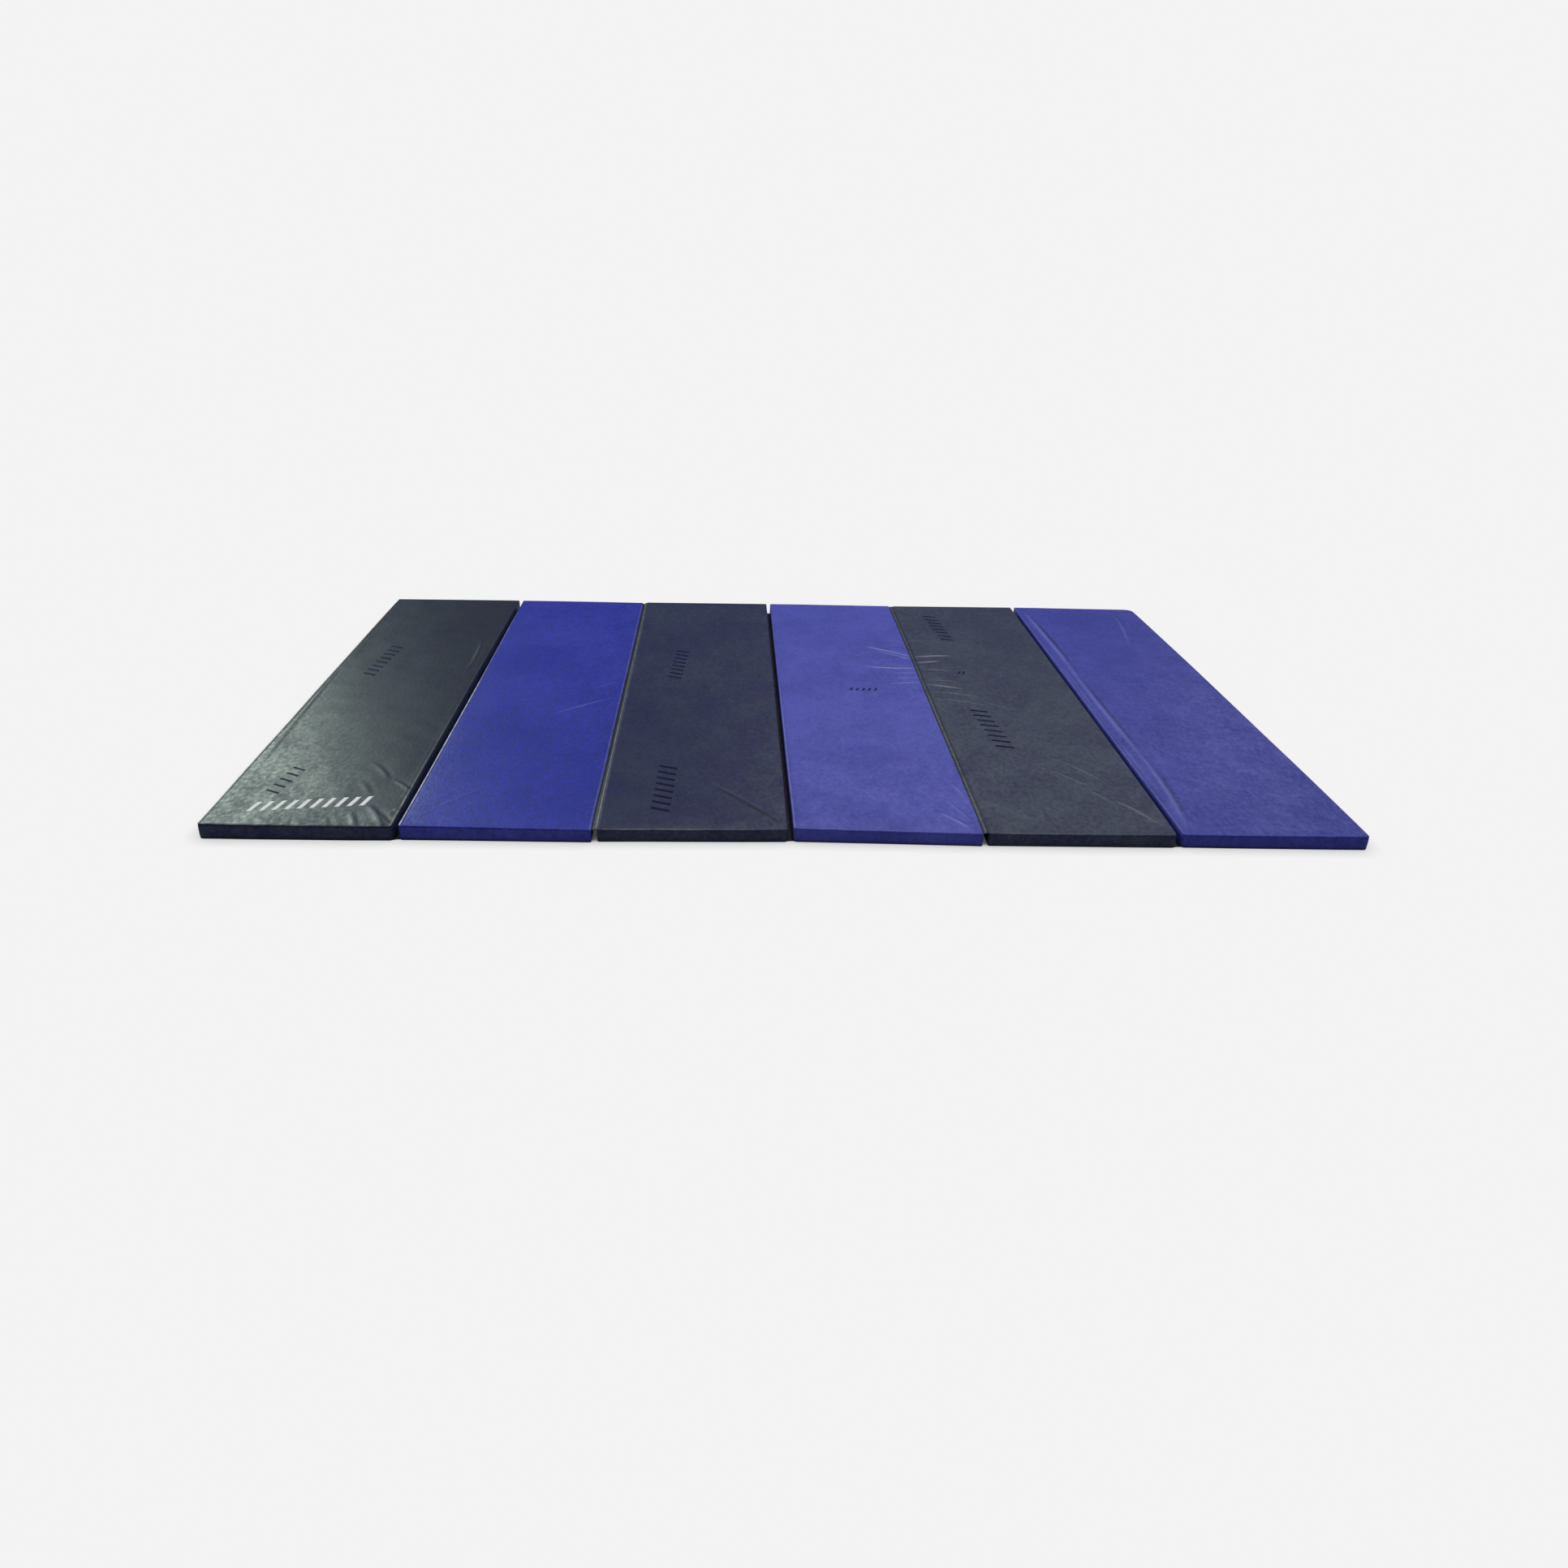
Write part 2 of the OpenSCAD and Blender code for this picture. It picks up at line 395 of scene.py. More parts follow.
def warp(i, points):
    """The cut isn't quite straight: moves a panel's points sideways, most at its outline."""
    x, y = points[:, 0], points[:, 1]
    left, right = SIDE_BULGE[i]
    set_left, set_right = SET_BACK[i]
    to_left = np.exp(-(x + HALF_X) / SIDE_REACH)
    to_right = np.exp(-(HALF_X - x) / SIDE_REACH)
    arch = 1 - (y / HALF_Y) ** 2
    dx = to_right * (right * arch + 0.7 * noise_along_y(y, 0.31, 70 + i))
    dx = dx - to_left * (left * arch + 0.7 * noise_along_y(y, 0.31, 60 + i))
    t = (x / HALF_X + 1) / 2
    back = (set_left * (1 - t) + set_right * t) * (1 - y / HALF_Y) / 2
    to_front = np.exp(-(y + HALF_Y) / FRONT_REACH)
    dy = back + to_front * 0.9 * noise_along_x(x, 0.12, 90 + i)
    moved = points.copy()
    moved[:, 0] += dx * MM
    moved[:, 1] += dy * MM
    return moved


# ---------------- mesh helpers

def points_at(x, y, z):
    """Points from their places along X, Y and Z."""
    return np.stack(np.broadcast_arrays(x, y, z), -1)


def linked(name, data):
    """A new object in the scene."""
    obj = bpy.data.objects.new(name, data)
    bpy.context.scene.collection.objects.link(obj)
    return obj


def new_object(name, points, faces, materials, face_materials=None, smooth=True):
    mesh = bpy.data.meshes.new(name)
    mesh.from_pydata(np.asarray(points).tolist(), [], [list(f) for f in faces])
    mesh.update()
    for m in materials:
        mesh.materials.append(m)
    if face_materials is not None:
        mesh.polygons.foreach_set("material_index", np.asarray(face_materials, np.int32))
    if smooth:
        mesh.polygons.foreach_set("use_smooth", np.ones(len(mesh.polygons), bool))
    return linked(name, mesh)


def store_painted_light(obj, values):
    """Stores each point's painted light for the material: painted highlight above 0, painted shade below 0.
    """
    layer = obj.data.attributes.new("wear", "FLOAT", "POINT")
    layer.data.foreach_set("value", np.asarray(values, np.float32))
    return obj


def solidify(obj, thickness):
    mod = obj.modifiers.new("fabric thickness", "SOLIDIFY")
    mod.thickness = thickness
    mod.offset = -1
    return obj


def grid_faces(rows, columns, first=0, wrap=False):
    """Faces of a grid of points stored row by row."""
    r = np.arange(rows - 1)[:, None]
    c = np.arange(columns if wrap else columns - 1)[None, :]
    a, b = r * columns + c, r * columns + (c + 1) % columns
    return np.stack([a, b, b + columns, a + columns], -1).reshape(-1, 4) + first


def rim(rows, columns):
    """Indices of a grid's edge points, once round."""
    index = np.arange(rows * columns).reshape(rows, columns)
    return np.concatenate([index[0, :-1], index[:-1, -1], index[-1, :0:-1], index[:0:-1, 0]])


def collar(upper, lower):
    """Faces that join two loops of points, given by their indices."""
    return np.stack([np.roll(upper, -1), upper, lower, np.roll(lower, -1)], -1)


def ring(edge, out, off, z):
    """Points round an outline, moved off outward from it and put at height z."""
    return np.column_stack([edge + out * off, z + 0 * edge[:, 0]])


# How sheets are cut and turned at their edges
TURN_DEGREES = [18, 36, 54, 72, 88, 103, 118]  # places round the turned edge
SEAM_DEGREES = 112  # where the band meets it
DOWNWARD = [1, 0, 3, 2]  # turns the faces of rows that run downward outward
BASE_STEP = 16 * MM
BAND_STEP = 6 * MM
FOAM_STEP = 60 * MM
FOAM_INSET = 2 * MM
FOAM_PLAY = 3 * MM  # room between the foam and its cover
FOAM_R = 3 * MM  # radius of the foam's edges


class Plan:
    """A rounded panel from above: a grid of points, and at its edge the direction outward."""

    def __init__(self, i, step, inset=EDGE_INSET):
        hx, hy = HALF_X - inset, HALF_Y - inset
        share_x, frac_x = self.stations(round(2 * hx / step))
        share_y, frac_y = self.stations(round(2 * hy / step))
        share_x, share_y = np.meshgrid(share_x, share_y)
        fx, fy = np.meshgrid(frac_x, frac_y)
        dx, dy = fx * np.sqrt(1 - fy ** 2 / 2), fy * np.sqrt(1 - fx ** 2 / 2)
        t, s = (share_x + 1) / 2, (share_y + 1) / 2
        near_left, near_right, far_left, far_right = (r - inset for r in corner_radii(i))
        near, far = near_left * (1 - t) + near_right * t, far_left * (1 - t) + far_right * t
        radius = near * (1 - s) + far * s
        self.rows, self.columns = radius.shape
        self.x = (share_x * (hx - radius) + radius * dx).ravel()
        self.y = (share_y * (hy - radius) + radius * dy).ravel()
        self.loop = rim(self.rows, self.columns)
        out = np.stack([dx.ravel(), dy.ravel()], -1)[self.loop]
        out = out / np.linalg.norm(out, axis=1)[:, None]
        self.edge = np.stack([self.x, self.y], -1)[self.loop], out

    def stations(self, cells):
        """Places along one direction, from -1 to 1, and how far each is into a corner."""
        ramp = np.arange(1, CORNER_CELLS + 1) / CORNER_CELLS
        share = np.concatenate([0 * ramp - 1, np.linspace(-1, 1, cells + 1), 0 * ramp + 1])
        return share, np.concatenate([-ramp[::-1], np.zeros(cells + 1), ramp])


def place(i, points, up=True):
    """Panel points, z measured from the face that they belong to, into the row frame."""
    placed = warp(i, points)
    placed[:, 0] += panel_x(i)
    placed[:, 1] += MID_Y
    placed[:, 2] = TOP_Z + placed[:, 2] if up else FLOOR_Z - placed[:, 2]
    return placed


def sheet_mesh(i, name, step, heights, wear, materials, up=True):
    """A sheet with its edge turned down: a grid, then rings round the edge to the seam."""
    plan = Plan(i, step)
    flat = points_at(plan.x, plan.y, heights(i, plan.x, plan.y))
    edge, out = plan.edge
    lift = edge_lift(i, edge[:, 0], edge[:, 1]) if up else 0
    above = flat[plan.loop, 2] - lift
    rings = []
    # Painted highlight and shade values, carried round the turned edge and fading as it turns down
    worn = [wear(i, plan.x, plan.y)]
    for a in np.radians(TURN_DEGREES):
        worn.append(worn[0][plan.loop] * min(1.0, max(0.0, 2.2 * math.cos(a))))
        z = EDGE_R * (math.cos(a) - 1) + lift + above * max(0.0, math.cos(a))
        rings.append(ring(edge, out, EDGE_R * math.sin(a), z))
    start, count = len(flat), len(edge)
    faces = np.concatenate([
        grid_faces(plan.rows, plan.columns),
        collar(plan.loop, start + np.arange(count)),
        grid_faces(len(rings), count, start, wrap=True)[:, DOWNWARD],
    ])
    if not up:
        faces = faces[:, ::-1]
    sheet = new_object(name, place(i, np.concatenate([flat, *rings]), up), faces, materials)
    return solidify(store_painted_light(sheet, np.concatenate(worn)), FABRIC)


def band_mesh(i, name, materials):
    """The boxing round a panel: rows of points from the top seam down to the base seam."""
    edge, out = Plan(i, BAND_STEP).edge
    outline = edge + out * (EDGE_INSET - 0.3 * MM)
    steps = np.linalg.norm(np.roll(outline, -1, 0) - outline, axis=1)
    s = np.concatenate([[0], np.cumsum(steps)[:-1]])
    behind_zip = ((outline[:, 1] > 0) & (np.abs(outline[:, 0]) < 0.45 * 2 * HALF_X)) * 1.0
    seam_z = EDGE_R * (1 - math.cos(math.radians(SEAM_DEGREES)))
    tall = TOP_Z - FLOOR_Z
    near_seam = np.array([0, 1.2, 2.6]) * MM
    middle = np.linspace(seam_z + 5 * MM, tall - seam_z - 5 * MM, 7)
    depths = np.concatenate([seam_z + near_seam, middle, tall - seam_z - near_seam[::-1]])
    rows = []
    for depth in depths:
        from_seam = min(depth - seam_z, tall - seam_z - depth)
        share = from_seam / (tall / 2 - seam_z)
        swell = -1.6 * MM * math.exp(-from_seam / (1.1 * MM)) + 0.5 * MM * share ** 0.5
        slack = 0.5 * MM * share * smooth_noise(s, 0 * s + depth, 0.09, 100 + i)
        gather = 0.28 * MM * math.exp(-from_seam / (4 * MM)) * noise_along_x(s, 0.011, 110 + i)
        stands = (swell + slack + gather) * (1 - 0.9 * behind_zip) - 0.3 * MM * behind_zip
        z = -depth + edge_lift(i, edge[:, 0], edge[:, 1]) * (1 - depth / tall)
        rows.append(ring(outline, out, stands[:, None], z))
    faces = grid_faces(len(depths), len(s), wrap=True)[:, DOWNWARD]
    return solidify(new_object(name, place(i, np.concatenate(rows)), faces, materials), FABRIC)


def foam_mesh(i, name, materials):
    """The foam slab, a little smaller than its cover, with softened edges."""
    plan = Plan(i, FOAM_STEP, EDGE_INSET + FOAM_INSET)
    edge, out = plan.edge
    tall = TOP_Z - FLOOR_Z
    cap = points_at(plan.x, plan.y, -FOAM_PLAY)
    cap[:, 2] += np.minimum(edge_lift(i, cap[:, 0], cap[:, 1]), 0)
    bottom = cap.copy()
    bottom[:, 2] = FOAM_PLAY - tall
    drawn = cap[plan.loop, 2] + FOAM_PLAY
    sizes = []
    for a in np.radians([30, 60, 90]):
        sizes.append((FOAM_R * math.sin(a), -FOAM_PLAY - FOAM_R * (1 - math.cos(a))))
    sizes += [(off, -tall - z) for off, z in sizes[::-1]]
    rings = [ring(edge, out, off, z + (drawn if z > -tall / 2 else 0)) for off, z in sizes]
    start, count = len(cap), len(edge)
    under = start + count * len(rings)
    faces = np.concatenate([
        grid_faces(plan.rows, plan.columns),
        collar(plan.loop, start + np.arange(count)),
        grid_faces(len(rings), count, start, wrap=True)[:, DOWNWARD],
        collar(under - count + np.arange(count), under + plan.loop),
        grid_faces(plan.rows, plan.columns, under)[:, ::-1],
    ])
    return new_object(name, place(i, np.concatenate([cap, *rings, bottom])), faces, materials)


def closed_cloth(upper, drop):
    """Points and faces of a closed strip: an upper grid, and the same grid moved by drop."""
    rows, columns = upper.shape[:2]
    top = upper.reshape(-1, 3)
    edge, under = rim(rows, columns), rows * columns
    faces = [grid_faces(rows, columns), grid_faces(rows, columns, under)[:, ::-1], collar(edge, edge + under)]
    return np.concatenate([top, top + np.array(drop)]), np.concatenate(faces)


def capsules(centres, along, length, radius, sides=6):
    """A short rounded rod at each centre, pointing along one direction or each along its own."""
    centres = np.asarray(centres, float)
    along = along / np.linalg.norm(along, axis=-1)[..., None] + 0 * centres
    side = np.cross(along, [0.301, 0.233, 0.925])
    side = side / np.linalg.norm(side, axis=1)[:, None]
    other = np.cross(along, side)
    stations = np.array([(-1.0, 0.35), (-0.82, 0.8), (-0.4, 1.0), (0.4, 1.0), (0.82, 0.8), (1.0, 0.35)])
    turns = np.arange(sides) * 2 * math.pi / sides
    out = stations[:, 1, None] * radius
    local = points_at(stations[:, 0, None] * length / 2, out * np.cos(turns), out * np.sin(turns))
    axes = np.stack([along, side, other], 1)
    points = centres[:, None, :] + np.einsum("pk,nkc->npc", local.reshape(-1, 3), axes)
    rings = len(stations)
    first, last = np.arange(sides), (rings - 1) * sides + np.arange(sides)
    step = np.arange(len(centres)) * rings * sides
    quads = (grid_faces(rings, sides, wrap=True) + step[:, None, None]).reshape(-1, 4)
    return points.reshape(-1, 3), [*quads, *(first[::-1] + step[:, None]), *(last + step[:, None])]


def join_parts(parts):
    """Joins parts of points, faces and a material number into one set of each."""
    points, faces, numbers, start = [], [], [], 0
    for p, f, number in parts:
        points.append(np.asarray(p, float))
        faces += [tuple(int(k) + start for k in face) for face in f]
        numbers += [number] * len(f)
        start += len(p)
    return np.concatenate(points), faces, numbers


# ---------------- materials

def srgb(r, g, b):
    """A screen colour, 0 to 255, as the linear colour that shaders use."""
    def channel(c):
        c = c / 255
        return c / 12.92 if c <= 0.04045 else ((c + 0.055) / 1.055) ** 2.4
    return channel(r), channel(g), channel(b), 1.0


class Nodes:
    """Short ways to add nodes to the tree of a material or a world."""

    def __init__(self, owner):
        owner.use_nodes = True
        self.tree = owner.node_tree

    def fill(self, socket, value):
        """Gives a socket a link if the value comes from a node, and else the value itself."""
        if isinstance(value, bpy.types.NodeSocket):
            self.tree.links.new(value, socket)
        else:
            socket.default_value = value

    def node(self, kind, out, numbered=(), **named):
        """A new node's output. Names in small letters are its settings, others its inputs."""
        n = self.tree.nodes.new("ShaderNode" + kind)
        for name, value in named.items():
            if name.islower():
                setattr(n, name, value)
            else:
                self.fill(n.inputs[name.replace("_", " ")], value)
        for number, value in numbered:
            self.fill(n.inputs[number], value)
        return n.outputs[out]

    def mix(self, factor, a, b):
        return self.node("Mix", 2, ((0, factor), (6, a), (7, b)), data_type="RGBA")

    def math(self, operation, a, b):
        return self.node("Math", 0, ((0, a), (1, b)), operation=operation)

    def for_rays(self, kind, others, chosen):
        """One shader for one kind of ray and another for the others."""
        return self.blend(self.node("LightPath", kind), others, chosen)

    def blend(self, factor, a, b):
        return self.node("MixShader", 0, ((0, factor), (1, a), (2, b)))

    def show(self, output, shader):
        self.tree.links.new(shader, self.tree.nodes[output].inputs["Surface"])


class Shader(Nodes):
    """A principled material."""

    def __init__(self, name, colour, roughness, **inputs):
        self.material = bpy.data.materials.new(name)
        super().__init__(self.material)
        self.bsdf = self.tree.nodes["Principled BSDF"]
        for key, value in {"Base Color": colour, "Roughness": roughness, **inputs}.items():
            self.set(key.replace("_", " "), value)
        self.where = self.node("TexCoord", "Object")

    def set(self, name, value):
        self.fill(self.bsdf.inputs[name], value)

    def noise(self, scale, detail=3.0, roughness=0.55, where=None):
        return self.node("TexNoise", "Fac", Vector=where or self.where, Scale=scale, Detail=detail,
                         Roughness=roughness)

    def cells(self, scale, feature="F1", **inputs):
        """Distance from the middle of the cell that a place is in."""
        return self.node("TexVoronoi", "Distance", feature=feature, Vector=self.where, Scale=scale, **inputs)

    def waves(self, scale, direction, **inputs):
        return self.node("TexWave", "Fac", bands_direction=direction, Vector=self.where, Scale=scale,
                         **inputs)

    def ramp(self, value, low, high, to_low=0.0, to_high=1.0):
        return self.node("MapRange", "Result", clamp=True, Value=value, From_Min=low, From_Max=high,
                         To_Min=to_low, To_Max=to_high)

    def bump(self, height, distance, strength):
        self.set("Normal", self.node("Bump", "Normal", Height=height, Distance=distance, Strength=strength))


def scaled(colour, factor):
    return tuple(c * factor for c in colour[:3]) + (1.0,)


def vinyl(name, dark, light, worn, mottle=0.38, grain=1.0, roughness=0.42):
    """Embossed coated fabric: clouded colour, leather grain, uneven gloss, and painted highlight and shade
    from the points' wear attribute.
    """
    s = Shader(name, light, roughness, Specular_IOR_Level=0.26)
    stretched = s.node("Mapping", "Vector", Vector=s.where, Scale=(1.0, 0.62, 1.0))
    fine = s.noise(300, 3.0, 0.6)
    streaks = s.noise(80, 4.0, 0.66, stretched)
    clouds = s.noise(13, 6.0, 0.72, stretched)
    cloudy = s.math("ADD", clouds, s.math("MULTIPLY", s.noise(3.1, 2.0, 0.5), 0.6))
    tone = s.mix(s.ramp(cloudy, 0.66, 0.94), dark, light)
    shade = s.math("ADD", streaks, s.math("MULTIPLY", fine, 0.7))
    shade = s.ramp(shade, 0.62, 1.08, 0.98 - mottle, 0.98 + mottle)
    level = s.math("ABSOLUTE", s.math("SUBTRACT", s.noise(24, 5.0, 0.62), 0.5), 0.0)
    shade = s.math("MULTIPLY", shade, s.ramp(level, 0.0, 0.012, 0.72, 1.0))
    tone = s.node("VectorMath", "Vector", operation="SCALE", Vector=tone, Scale=shade)
    # The wear attribute paints highlights in the worn colour above 0 and paints shade darker below 0
    wear = s.node("Attribute", "Fac", attribute_name="wear")
    pale = s.math("MULTIPLY", s.ramp(wear, 0, 1), s.ramp(fine, 0.35, 0.6, 0.7, 1.1))
    tone = s.mix(pale, tone, worn)
    painted_shade = s.ramp(wear, -1, 0, 0.1, 1)
    s.set("Base Color", s.node("VectorMath", "Vector", operation="SCALE", Vector=tone, Scale=painted_shade))
    gloss = s.math("ADD", streaks, clouds)
    s.set("Roughness", s.ramp(gloss, 0.7, 1.3, roughness + 0.12, roughness - 0.12))
    pebbles = s.math("SUBTRACT", 1.0, s.cells(330.0, "SMOOTH_F1", Smoothness=0.7))
    height = s.math("ADD", s.math("MULTIPLY", pebbles, 0.18), s.math("MULTIPLY", fine, 0.25))
    height = s.math("ADD", height, s.math("MULTIPLY", streaks, 0.9))
    s.bump(height, 0.0010 * grain, 0.9)
    return s.material


def grip_vinyl(name, colour):
    """The underside: matt fabric with rows of small raised grip dots."""
    s = Shader(name, colour, 0.62, Specular_IOR_Level=0.35)
    fine = s.noise(300, 3.0)
    tone = s.mix(s.ramp(fine, 0.3, 0.7), scaled(colour, 0.8), scaled(colour, 1.2))
    raised = s.ramp(s.cells(170.0, Randomness=0.12), 0.22, 0.34, 1.0, 0.0)
    s.set("Base Color", s.mix(raised, tone, scaled(colour, 1.55)))
    s.bump(s.math("ADD", raised, s.math("MULTIPLY", fine, 0.3)), 0.0006, 0.8)
    return s.material


def foam_material():
    """Closed-cell foam: pale, matt, with fine cells."""
    s = Shader("closed cell foam", srgb(214, 216, 220), 0.85)
    cells = s.cells(700.0)
    s.set("Base Color", s.mix(s.ramp(cells, 0.1, 0.6), srgb(190, 193, 198), srgb(222, 224, 228)))
    s.bump(cells, 0.0004, 0.7)
    return s.material


def thread_material(colour):
    """Twisted sewing thread."""
    s = Shader("charcoal thread", colour, 0.55)
    twist = s.waves(1500.0, "DIAGONAL", Distortion=1.0)
    s.set("Base Color", s.mix(twist, scaled(colour, 0.7), scaled(colour, 1.25)))
    s.bump(twist, 0.0001, 0.6)
    return s.material


def tape_material():
    """Woven polyester zip tape."""
    s = Shader("zip tape weave", srgb(30, 31, 35), 0.8)
    weave = s.math("MAXIMUM", s.waves(420.0, "X"), s.waves(420.0, "Z"))
    s.set("Base Color", s.mix(weave, srgb(16, 17, 19), srgb(44, 46, 51)))
    s.bump(weave, 0.00015, 0.8)
    return s.material


def nylon_material():
    """The zip's nylon coil."""
    s = Shader("nylon coil", srgb(26, 27, 30), 0.35)
    haze = s.noise(500, 2.0)
    s.set("Roughness", s.ramp(haze, 0.3, 0.7, 0.28, 0.45))
    s.bump(haze, 0.00004, 0.5)
    return s.material


def slider_material():
    """Nickel-plated slider, worn a little."""
    s = Shader("nickel plate", srgb(150, 152, 155), 0.3, Metallic=1.0)
    wear = s.noise(420, 4.0)
    s.set("Roughness", s.ramp(wear, 0.3, 0.7, 0.22, 0.46))
    s.set("Base Color", s.mix(s.ramp(wear, 0.4, 0.7), srgb(158, 160, 163), srgb(118, 118, 120)))
    s.bump(wear, 0.00003, 0.5)
    return s.material


def print_material(name, colour):
    """Screen print on vinyl, slightly broken up by the grain."""
    s = Shader(name, colour, 0.6, Specular_IOR_Level=0.08)
    fine = s.noise(360, 4.0, 0.6)
    s.set("Base Color", s.mix(s.ramp(fine, 0.3, 0.7), scaled(colour, 0.82), scaled(colour, 1.05)))
    s.bump(fine, 0.0001, 0.6)
    return s.material


# Colours of the painted highlights on edges, crease crests and strip ridges
GREY_HIGHLIGHT = srgb(170, 176, 180)
WHITE_HIGHLIGHT = srgb(226, 228, 240)
BLUE_HIGHLIGHT = srgb(150, 155, 222)
# Each panel has its own tinted copy of the charcoal or blue vinyl. The copies differ partly as painted light:
# lighter where more sheen falls on a panel, darker where less does. The side bands take the lighter copies.
SHEET = {
    1: vinyl("charcoal vinyl a", srgb(12, 18, 54), srgb(28, 37, 56), GREY_HIGHLIGHT, 0.6, grain=0.5),
    3: vinyl("charcoal vinyl b", srgb(26, 32, 76), srgb(43, 52, 80), GREY_HIGHLIGHT, 0.48),
    5: vinyl("charcoal vinyl c", srgb(42, 49, 80), srgb(57, 66, 88), GREY_HIGHLIGHT, 0.48),
    2: vinyl("blue vinyl a", srgb(28, 41, 152), srgb(47, 55, 166), WHITE_HIGHLIGHT),
    4: vinyl("blue vinyl b", srgb(64, 70, 168), srgb(79, 83, 184), BLUE_HIGHLIGHT, 0.17, grain=0.7),
    6: vinyl("blue vinyl c", srgb(52, 59, 157), srgb(66, 71, 170), BLUE_HIGHLIGHT, 0.26, grain=0.8),
}
SIDE = {1: SHEET[5], 2: SHEET[6], 3: SHEET[5], 4: SHEET[4], 5: SHEET[5], 6: SHEET[6]}
GRIP = {
    True: grip_vinyl("charcoal grip vinyl", srgb(44, 48, 56)),
    False: grip_vinyl("blue grip vinyl", srgb(44, 48, 112)),
}
HINGE = {
    True: vinyl("hinge vinyl", srgb(40, 45, 62), srgb(58, 63, 76), GREY_HIGHLIGHT, grain=0.6, roughness=0.34),
    False: vinyl("under hinge vinyl", srgb(20, 21, 26), srgb(30, 31, 36), GREY_HIGHLIGHT, grain=0.6),
}
THREAD = thread_material(srgb(58, 62, 70))
FOAM = foam_material()
TAPE = tape_material()
NYLON = nylon_material()
NICKEL = slider_material()
WHITE_PRINT = print_material("white print", srgb(246, 248, 248))
DARK_PRINT = print_material("dark print", srgb(16, 17, 58))


# ---------------- panels

def vinyl_slot(i, kind="vinyl"):
    return ("charcoal_" if is_charcoal(i) else "blue_") + kind


def finish_piece(obj, body, slot, *nodes):
    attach(obj, body)
    if nodes:
        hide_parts(*nodes)


SLACK = {i: simulate_slack(i) for i in PANELS}


def make_top(i):
    top = sheet_mesh(i, f"top_cover_{i}", TOP_STEP, top_height, painted_top_light, [SHEET[i]])
    finish_piece(top, f"panel_{i}", vinyl_slot(i), f"top_sheet_{i}")


def make_band(i):
    band = band_mesh(i, f"band_cover_{i}", [SIDE[i]])
    finish_piece(band, f"panel_{i}", vinyl_slot(i), f"side_band_{i}")


def level(i, x, y):
    return 0 * x


def make_base(i):
    base = sheet_mesh(i, f"base_cover_{i}", BASE_STEP, level, level, [GRIP[is_charcoal(i)]], up=False)
    finish_piece(base, f"panel_{i}", vinyl_slot(i, "grip_vinyl"), f"base_sheet_{i}")


def make_foam(i):
    foam = foam_mesh(i, f"foam_slab_{i}", [FOAM])
    finish_piece(foam, f"panel_{i}", "foam", f"foam_core_{i}")


for i in PANELS:
    make_foam(i)
    make_top(i)
    make_band(i)
    make_base(i)


# ---------------- hinge strips

STRIP_REACH = 9.4 * MM  # how far a strip reaches from the middle of its seam, over the covers' edges
STRIP_THICK = 1.0 * MM
STITCH_AT = 7.6 * MM
STITCH_PITCH = 7 * MM
STITCH_LENGTH = 4.6 * MM
STRIP_ROWS = np.arange(-HALF_Y + 5 * MM, HALF_Y - 4 * MM, 6 * MM)

# Sections of the strips, in mm: distance from the middle of the seam, and depth below the face
SECTION = {
    2: [(-9.4, 0.3), (-7.2, 2.6), (-5.0, 4.4), (-1.5, 4.2), (0.6, 2.2), (2.4, 0.2), (4.0, -0.7),
        (5.6, -0.2), (7.2, 0.5), (9.4, 0.2)],
    4: [(-9.4, 0.4), (-7.4, 2.6), (-6.0, 2.9), (-4.2, 1.3), (-1.0, 0.7), (3.0, 0.8), (5.2, 1.4),
        (6.6, 2.4), (8.0, 1.4), (9.4, 0.2)],
}
UNDER_SECTION = [(-9.4, 0.3), (-6.0, 1.0), (0.0, 2.2), (6.0, 1.0), (9.4, 0.3)]


def seam_x(seam):
    return (panel_x(seam) + panel_x(seam + 1)) / 2


def split_off(y):
    """How far the first strip's second fold has parted from its ridge."""
    return np.clip((-0.55 - y) / 0.3, 0, 1)


def strip_depth(seam, dx, y):
    """How far below its face a strip lies, dx from the middle of the seam."""
    across, depth = np.array(SECTION.get(seam, UNDER_SECTION)).T * MM
    sunk = np.interp(dx, across, depth)
    gather = 0.30 * MM * noise_along_y(y, 0.009, 200 + seam) * hump(np.abs(dx) - 5.5 * MM, 2.6 * MM)
    slack = 0.25 * MM * noise_along_y(y, 0.06, 210 + seam) * hump(dx, 7 * MM)
    if seam != min(SECTION):
        return sunk + gather + slack
    return sunk + gather + slack - 1.9 * MM * split_off(y) * hump(dx + 2.0 * MM, 1.3 * MM)


def painted_strip_light(seam, dx, y):
    """Painted light on a strip: a painted highlight where it stands proud and painted shade where it dips."""
    patchy = noise_along_y(y, 0.012, 220 + seam)
    if not strip_on_top(seam):
        return 0 * dx * y
    if seam != min(SECTION):
        # A plain strip: a painted highlight on its crest and painted shade along both edges
        crest = (0.13 + 0.10 * patchy) * hump(dx - 0.5 * MM, 3.5 * MM)
        return crest - 0.8 * hump(np.abs(dx) - 6.8 * MM, 1.6 * MM)
    # The first strip: painted highlights on its ridge and second fold, painted shade in the dips beside them
    front = np.clip((0.1 - y) / 0.9, 0, 1)
    ridge = (0.34 + 0.26 * front + 0.14 * patchy) * hump(dx - 4.6 * MM, 2.0 * MM)
    second = 0.42 * split_off(y) * hump(dx + 2.0 * MM, 1.2 * MM)
    return ridge + second - 0.85 * hump(dx + 4.4 * MM, 1.9 * MM) - 0.7 * hump(dx - 0.8 * MM, 1.2 * MM)


